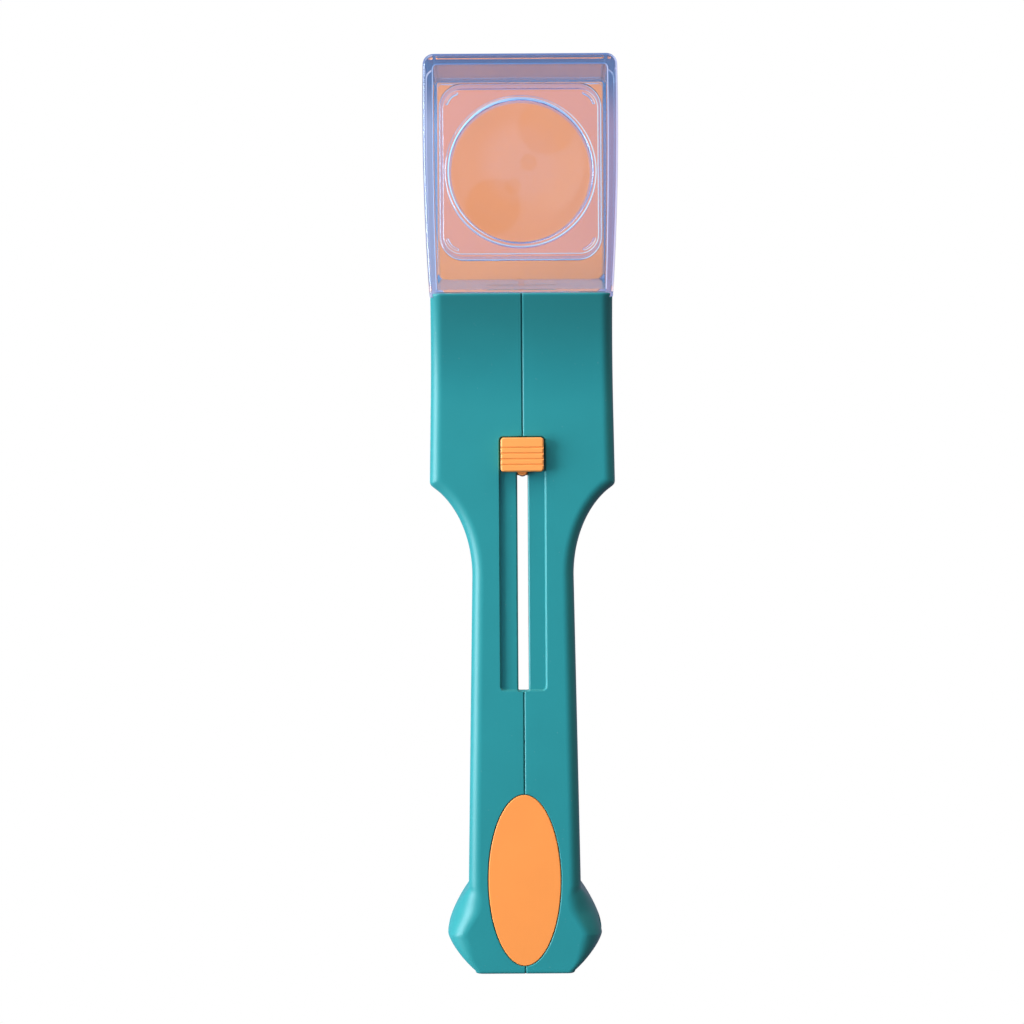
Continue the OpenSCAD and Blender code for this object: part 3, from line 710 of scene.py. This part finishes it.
def box_plan(near_half, wide_half, y0, y1, radius):
    """Plan of the box: each side bows along a parabola that is widest at 0.78 of its length, and
    the far corners are rounded."""
    t = np.linspace(0, 1, 141)
    bowed = near_half + (wide_half - near_half) * (1 - (1 - t / 0.78) ** 2)
    side = np.column_stack([bowed, y0 + (y1 - radius - y0) * t])
    a = np.linspace(0, np.pi / 2, 10)[1:]
    corner = np.column_stack([side[-1, 0] - radius + radius * np.cos(a),
                              y1 - radius + radius * np.sin(a)])
    right_side = np.vstack([side, corner])
    return np.vstack([right_side, right_side[::-1] * [-1, 1]])


def box_shell():
    """The outside of the box, cut back to the lean of its near wall below the handle's roof, with
    the tongue that the handle's halves clamp."""
    shell = rounded_slab("clear_box", box_plan(25.4, box_half, join - 2, far_end, 3),
                         0, box_top, 0.4, 1.0, 8)
    carve(shell, "DIFFERENCE",
          side_plate("behind", [[wall_back + (ceiling + 5) * lean, -5], [wall_back - 13 * lean, 40],
                                [wall_back - 60, 40], [wall_back - 60, -5]]),
          slab("lip_gap", oblong(80, join - 40, join + fit), [[0, ceiling + 0.1], [0, 40]]))
    root = wall_back + (ceiling - tongue_low) * lean + 1
    heights = [[0, tongue_low], [0, tongue_low + tongue_thick]]
    carve(shell, "UNION",
          slab("neck", oblong(tongue_wide, hook - 1, root), heights),
          slab("hook", oblong(tongue_wide + 5, hook - 3, hook), heights))
    return shell


def box_openings():
    """Cutters for the chamber, the rails and grooves of the trapdoor, and the lens plate's seat
    with the opening under it."""
    rail_plan = box_plan(23.1, 23.75, join - 5, far_end - 3.2, 1)
    groove_plan = box_plan(channel_half, channel_half, join - 5, far_end - 2.3, 0.5)
    seat_plan = round_rect(plate_wide + 2 * fit, plate_long + 2 * fit, 6.5, (0, lens_y), 12)
    opening_plan = round_rect(plate_wide - 2.2, plate_long - 2.2, 5.4, (0, lens_y), 12)
    chamber = rounded_slab(
        "chamber", box_plan(23.6, box_half - side_wall, join - 5, far_end - 2.4, 1.5),
        rails_high, ceiling, 0, 0.7, 5)
    above_rails = slab("above_rails", rail_plan, [[0, channel_high], [0, rails_high + 1]])
    for part in (chamber, above_rails):
        carve(part, "INTERSECT", ahead_of("front", join + 1, ceiling, 60))
    return [
        chamber, above_rails,
        slab("mouth", rail_plan, [[0, -1], [0, rails_low]]),
        slab("grooves", groove_plan, [[0, channel_low], [0, channel_high]]),
        rounded_slab("seat", seat_plan, ceiling + 1, 31, 0.1, 0),
        slab("opening", opening_plan, [[0, ceiling - 1], [0, ceiling + 2]])]


def fade(tree, source, start, stop):
    """Smooth step from 0 to 1 as the source goes from start to stop."""
    node = tree.nodes.new("ShaderNodeMapRange")
    node.interpolation_type = "SMOOTHSTEP"
    node.inputs["From Min"].default_value = start
    node.inputs["From Max"].default_value = stop
    tree.links.new(source, node.inputs["Value"])
    return node.outputs["Result"]


def painted_edge_glow():
    """Node group for clear plastic with painted light on its rounded edges, standing for the light that
    runs inside the sheet: the edges are painted bluer than the faces, and their painted glow is
    brightest where they face right, away from the window. An edge is where the normal is neither
    upright nor level, and it faces the more to the right the larger 0.4 x + 0.5 |x| - 0.3 y is."""
    if "painted_edge_glow" in bpy.data.node_groups:
        return bpy.data.node_groups["painted_edge_glow"]
    group, given, out = new_group("painted_edge_glow", ["Tint", "Painted face glow", "Light"], ["Strength"],
                                  ["Colour", "Glow"])
    surface = group.nodes.new("ShaderNodeNewGeometry")
    axes = group.nodes.new("ShaderNodeSeparateXYZ")
    group.links.new(surface.outputs["Normal"], axes.inputs[0])
    x, y, z = axes.outputs
    steep = maths(group, "ABSOLUTE", z)
    edge = maths(group, "MULTIPLY", fade(group, steep, 0.99, 0.82), fade(group, steep, 0.16, 0.42))
    edge = maths(group, "MULTIPLY", edge, given["Strength"])
    sideways = maths(group, "MULTIPLY", maths(group, "ABSOLUTE", x), 0.5)
    facing = maths(group, "MULTIPLY_ADD", x, 0.4, sideways)
    facing = maths(group, "MULTIPLY_ADD", y, -0.3, facing)
    # Painted highlight on the edges: dark blue where they face left, the light's colour where they face
    # right; the edges' base colour is painted bluer too.
    light = mixed(group, fade(group, facing, -0.2, 0.7), (0.09, 0.19, 0.44), given["Light"])
    group.links.new(mixed(group, edge, given["Tint"], (0.14, 0.26, 0.46)), out["Colour"])
    group.links.new(mixed(group, edge, given["Painted face glow"], light), out["Glow"])
    return group


def clear_acrylic(name, tint, painted_face_glow, light, edges):
    """Clear acrylic with a slightly tinted, uneven polish. Its faces give off a faint painted
    reflection, painted_face_glow, and its rounded edges a painted glow up to the light's colour, as
    strongly as edges says. Light for shadows and for soft bounces passes straight through, so that
    the trapdoor under it is lit."""
    material = bpy.data.materials.new(name)
    tree, shader, skin = add_skin(material, tint, 0.02, grain=160, gloss=-0.02)
    shader.inputs["IOR"].default_value = 1.49
    shader.inputs["Transmission Weight"].default_value = 1.0
    shader.inputs["Emission Strength"].default_value = 1.0
    # Painted glow on the faces and the rounded edges, given off as emission.
    rim = tree.nodes.new("ShaderNodeGroup")
    rim.node_tree = painted_edge_glow()
    rim.inputs["Strength"].default_value = edges
    rim.inputs["Painted face glow"].default_value = (*painted_face_glow, 1)
    rim.inputs["Light"].default_value = (*light, 1)
    tree.links.new(skin["Colour"], rim.inputs["Tint"])
    tree.links.new(rim.outputs["Colour"], shader.inputs["Base Color"])
    tree.links.new(rim.outputs["Glow"], shader.inputs["Emission Color"])
    rays = tree.nodes.new("ShaderNodeLightPath")
    lighting = maths(tree, "MAXIMUM", rays.outputs["Is Shadow Ray"], rays.outputs["Is Diffuse Ray"])
    pass_through = tree.nodes.new("ShaderNodeBsdfTransparent")
    pass_through.inputs["Color"].default_value = (0.94, 0.94, 0.98, 1)
    either = tree.nodes.new("ShaderNodeMixShader")
    tree.links.new(lighting, either.inputs["Fac"])
    tree.links.new(shader.outputs["BSDF"], either.inputs[1])
    tree.links.new(pass_through.outputs["BSDF"], either.inputs[2])
    tree.links.new(either.outputs["Shader"], tree.nodes["Material Output"].inputs["Surface"])
    return material


# Painted glow: none on the box's faces, a pale blue painted glow on its rounded edges.
acrylic = clear_acrylic("box_acrylic", (0.78, 0.86, 0.93), (0.0, 0.0, 0.0), (0.70, 0.74, 1.0), 0.65)
box = carve(box_shell(), "DIFFERENCE", *box_openings())
finish(box, acrylic, "handle", "viewing_box", 22, banded=True)

# ---- Lens plate ---------------------------------------------------------------------------------
# A clear acrylic plate, cemented into the seat in the box's top. It has a raised field, a ring that
# holds the lens, and a short curved rib in each corner.


def upright(name, profile, points=128):
    """A solid of revolution about the lens's upright axis. Each profile row is (radius, z)."""
    t = np.linspace(0, 2 * np.pi, points, endpoint=False)
    radius, z = np.asarray(profile, float).T
    rings = np.stack([radius[:, None] * np.cos(t), lens_y + radius[:, None] * np.sin(t),
                      np.broadcast_to(z[:, None], (len(z), points))], -1)
    return solid(name, rings)


def corner_rib(name, sx, sy):
    """A short curved rib in one corner of the raised field: a round-topped section carried along an
    arc of 66 degrees, and drawn in to round its ends. sx and sy choose the corner."""
    s = np.linspace(-1, 1, 41)
    size = np.sqrt(1.02 - np.clip((np.abs(s) - 0.85) / 0.15, 0, 1) ** 2)[:, None]
    angle = np.radians(45 + 33 * s)[:, None]
    round_top = np.linspace(0, np.pi, 13)
    across = np.concatenate([[rib_half], rib_half * np.cos(round_top), [-rib_half]])
    up = np.concatenate([[-0.9], rib_half * np.sin(round_top), [-0.9]])
    radius = 4.2 + across * size
    z = field_top + np.where(up > 0, up * size, up)
    return solid(name, np.stack([sx * (16.3 + radius * np.cos(angle)),
                                 sy * (17.55 + radius * np.sin(angle)) + lens_y, z], -1))


field_top, ring_top = box_top + 0.6, box_top + 1.4
ring_foot, ring_radius, bore_radius, ring_round, foot_bevel = 27.25, 21.05, 19.8, 0.62, 0.15
rib_half = 0.4
c, s = quarter(8)
rounding = ring_top - ring_round * (1 - s)
ring_profile = np.vstack([
    [0.5, ring_foot], [ring_radius - foot_bevel, ring_foot], [ring_radius, ring_foot + foot_bevel],
    np.column_stack([ring_radius - ring_round * c, rounding]), [0.5, ring_top]])
bore_profile = np.vstack([
    [0.5, 27.95], [bore_radius, 27.95], np.column_stack([bore_radius + ring_round * c, rounding]),
    [bore_radius + ring_round, ring_top + 1], [0.5, ring_top + 1]])
frame_plan = round_rect(plate_wide, plate_long, 6.5, (0, lens_y), 12)
field_plan = round_rect(43.2, 45.7, 5.3, (0, lens_y), 12)
lens_plate = rounded_slab("lens_plate_frame", frame_plan, 28.05, box_top, 0.1, 0.35)
carve(lens_plate, "UNION",
      rounded_slab("field", field_plan, 28.5, field_top, 0, 0.45, 6),
      upright("ring", ring_profile),
      *[corner_rib("rib", sx, sy) for sx in (-1, 1) for sy in (-1, 1)])
carve(lens_plate, "DIFFERENCE",
      upright("bore", bore_profile),
      upright("seat", [[0.5, 20], [19.2, 20], [19.2, 29], [0.5, 29]]))
# Painted glow: a faint blue one on the plate's faces, a cyan one on its rounded edges.
plate_acrylic = clear_acrylic("plate_acrylic", (0.76, 0.85, 0.98), (0.0, 0.005, 0.045),
                              (0.34, 0.72, 0.92), 0.95)
finish(lens_plate, plate_acrylic, "handle", "lens_plate", 22, banded=True)

# ---- Magnifying lens ----------------------------------------------------------------------------
# A polished lens of clear acrylic, shallow above and deeper below. It rests on a step in the
# plate's ring and is cemented there.


def cap_profile(radius, rise, z, steps=26):
    """Profile of a ball's cap from its rim to near its pole: z plus rise at the pole, following
    the circle that passes through both."""
    ball = (radius ** 2 + rise ** 2) / (2 * rise)
    r = radius * np.cos(np.linspace(0, np.pi / 2, steps))
    r = np.maximum(r, 0.25)
    return np.column_stack([r, z + rise - ball + np.sqrt(ball ** 2 - r ** 2)])


lens_foot, lens_rim, lens_radius = 28, 29.2, 19.75
under = cap_profile(18.9, 3.0, 0) * [1, -1] + [0, lens_foot]
over = cap_profile(19.6, 1.4, lens_rim)
edge = [[lens_radius, lens_foot + 0.1], [lens_radius, lens_rim - 0.1]]
lens = upright("magnifying_lens", np.vstack([under[::-1], edge, over]), 160)
# Painted glow: a very faint blue one on the lens's faces, a weak cyan one on its rim.
lens_acrylic = clear_acrylic("lens_acrylic", (0.81, 0.92, 0.98), (0.0, 0.0, 0.02),
                             (0.34, 0.72, 0.92), 0.15)
finish(lens, lens_acrylic, "handle", "magnifier_lens", 30)

# ---- Studio -------------------------------------------------------------------------------------
# A white paper floor, soft window lights, a room for the reflections and the camera straight above.
# Seen through the clear plastic the paper shows painted light and shade in the room's colours: dull
# blue light on the left, mauve shade on the right and dark blue shade beyond the far wall.

paper_low, paper_reach = -0.0004, 3
floor_mesh = bpy.data.meshes.new("floor")
floor_mesh.from_pydata([(x * paper_reach, y * paper_reach, paper_low)
                        for x, y in ((-1, -1), (1, -1), (1, 1), (-1, 1))], [], [(0, 1, 2, 3)])
floor_sheet = bpy.data.objects.new("floor", floor_mesh)
bpy.context.scene.collection.objects.link(floor_sheet)


def blend(tree, low, high, source, start, stop):
    """A colour that goes smoothly from low to high as the source goes from start to stop."""
    return mixed(tree, fade(tree, source, start, stop), low, high)


def axes_of(tree, coordinates):
    """The texture coordinates of that kind, and their x, y and z on their own."""
    place = tree.nodes.new("ShaderNodeTexCoord").outputs[coordinates]
    axes = tree.nodes.new("ShaderNodeSeparateXYZ")
    tree.links.new(place, axes.inputs[0])
    return place, *axes.outputs


def paper_with_painted_light_and_shade():
    """Paper that is white to the camera, and shows painted light and shade through the clear plastic.
    """
    material = bpy.data.materials.new("floor_with_painted_light_and_shade")
    material.use_nodes = True
    tree = material.node_tree
    shader = tree.nodes["Principled BSDF"]
    shader.inputs["Base Color"].default_value = (0, 0, 0, 1)
    shader.inputs["Specular IOR Level"].default_value = 0
    shader.inputs["Emission Strength"].default_value = 1.0
    _, x, y, _ = axes_of(tree, "Object")
    # Painted light and shade under the box, seen through the plastic: dull blue light on the left,
    # mauve shade on the right, dark blue shade beyond the far wall.
    across = blend(tree, (0.42, 0.42, 0.62), (0.42, 0.27, 0.40), x, -0.02, 0.02)
    beyond = blend(tree, across, (0.14, 0.16, 0.32), y, 0.112, 0.127)
    rays = tree.nodes.new("ShaderNodeLightPath")
    seen = blend(tree, beyond, (1.0, 1.0, 1.0), rays.outputs["Is Camera Ray"], 0, 1)
    tree.links.new(seen, shader.inputs["Emission Color"])
    return material


floor_mesh.materials.append(paper_with_painted_light_and_shade())
floor_sheet.visible_diffuse = False


def window(name, at, wide, tall, watts, colour):
    """A soft rectangular light at a place in metres, turned towards the middle of the paper."""
    light = bpy.data.lights.new(name, "AREA")
    light.shape, light.size, light.size_y = "RECTANGLE", wide, tall
    light.energy, light.color = watts, colour
    lamp = bpy.data.objects.new(name, light)
    bpy.context.scene.collection.objects.link(lamp)
    lamp.location = at
    lamp.rotation_euler = (-Vector(at)).to_track_quat("-Z", "Y").to_euler()
    lamp.visible_transmission = False


window("left_window", (-1.48, 0.1, 0.58), 1.2, 1.0, 54, (0.86, 1.0, 1.14))
for name, at, wide, watts in (("far_window", (-0.7, 1.35, 0.6), 1.2, 17),
                              ("high_window", (-0.6, 1.0, 1.1), 1.0, 5),
                              ("right_window", (0.9, 1.2, 0.6), 1.2, 8)):
    window(name, at, wide, 0.8, watts, (1.0, 1.0, 0.98))


def room_light():
    """The room round the part: a pale wall on the left, a mauve one on the right, a dark one beyond
    the far end, and a bright ceiling with two dull patches. Soft bounces get an even dim grey."""
    room = bpy.data.worlds.new("room")
    room.use_nodes = True
    tree = room.node_tree
    towards, x, y, z = axes_of(tree, "Generated")
    colour = blend(tree, (0.75, 1.0, 1.25), (0.42, 0.30, 0.42), x, -0.5, 0.3)
    colour = blend(tree, colour, (0.10, 0.18, 0.40), y, 0.5, 0.95)
    colour = blend(tree, colour, (0.35, 1.15, 2.1), z, 0.72, 0.97)
    for patch in ((0.115, 0.37, 0.92), (-0.125, 0.02, 0.99)):
        away = tree.nodes.new("ShaderNodeVectorMath")
        away.operation = "DISTANCE"
        away.inputs[1].default_value = patch
        tree.links.new(towards, away.inputs[0])
        colour = blend(tree, (0.25, 0.50, 0.85), colour, away.outputs["Value"], 0.11, 0.14)
    rays = tree.nodes.new("ShaderNodeLightPath")
    colour = blend(tree, colour, (0.10, 0.10, 0.10), rays.outputs["Is Diffuse Ray"], 0, 1)
    tree.links.new(colour, tree.nodes["Background"].inputs["Color"])
    return room


bpy.context.scene.world = room_light()
camera = bpy.data.cameras.new("camera")     # straight above, turned by a third of a degree
camera.sensor_width = 36
camera.lens = 66.129
camera.shift_x = -0.01035
stand = bpy.data.objects.new("camera", camera)
bpy.context.scene.collection.objects.link(stand)
stand.location = (0, 0.0018, 0.55)
stand.rotation_euler = (0, 0, np.radians(-0.35))
bpy.context.scene.camera = stand
bpy.context.scene.view_settings.view_transform = "Standard"
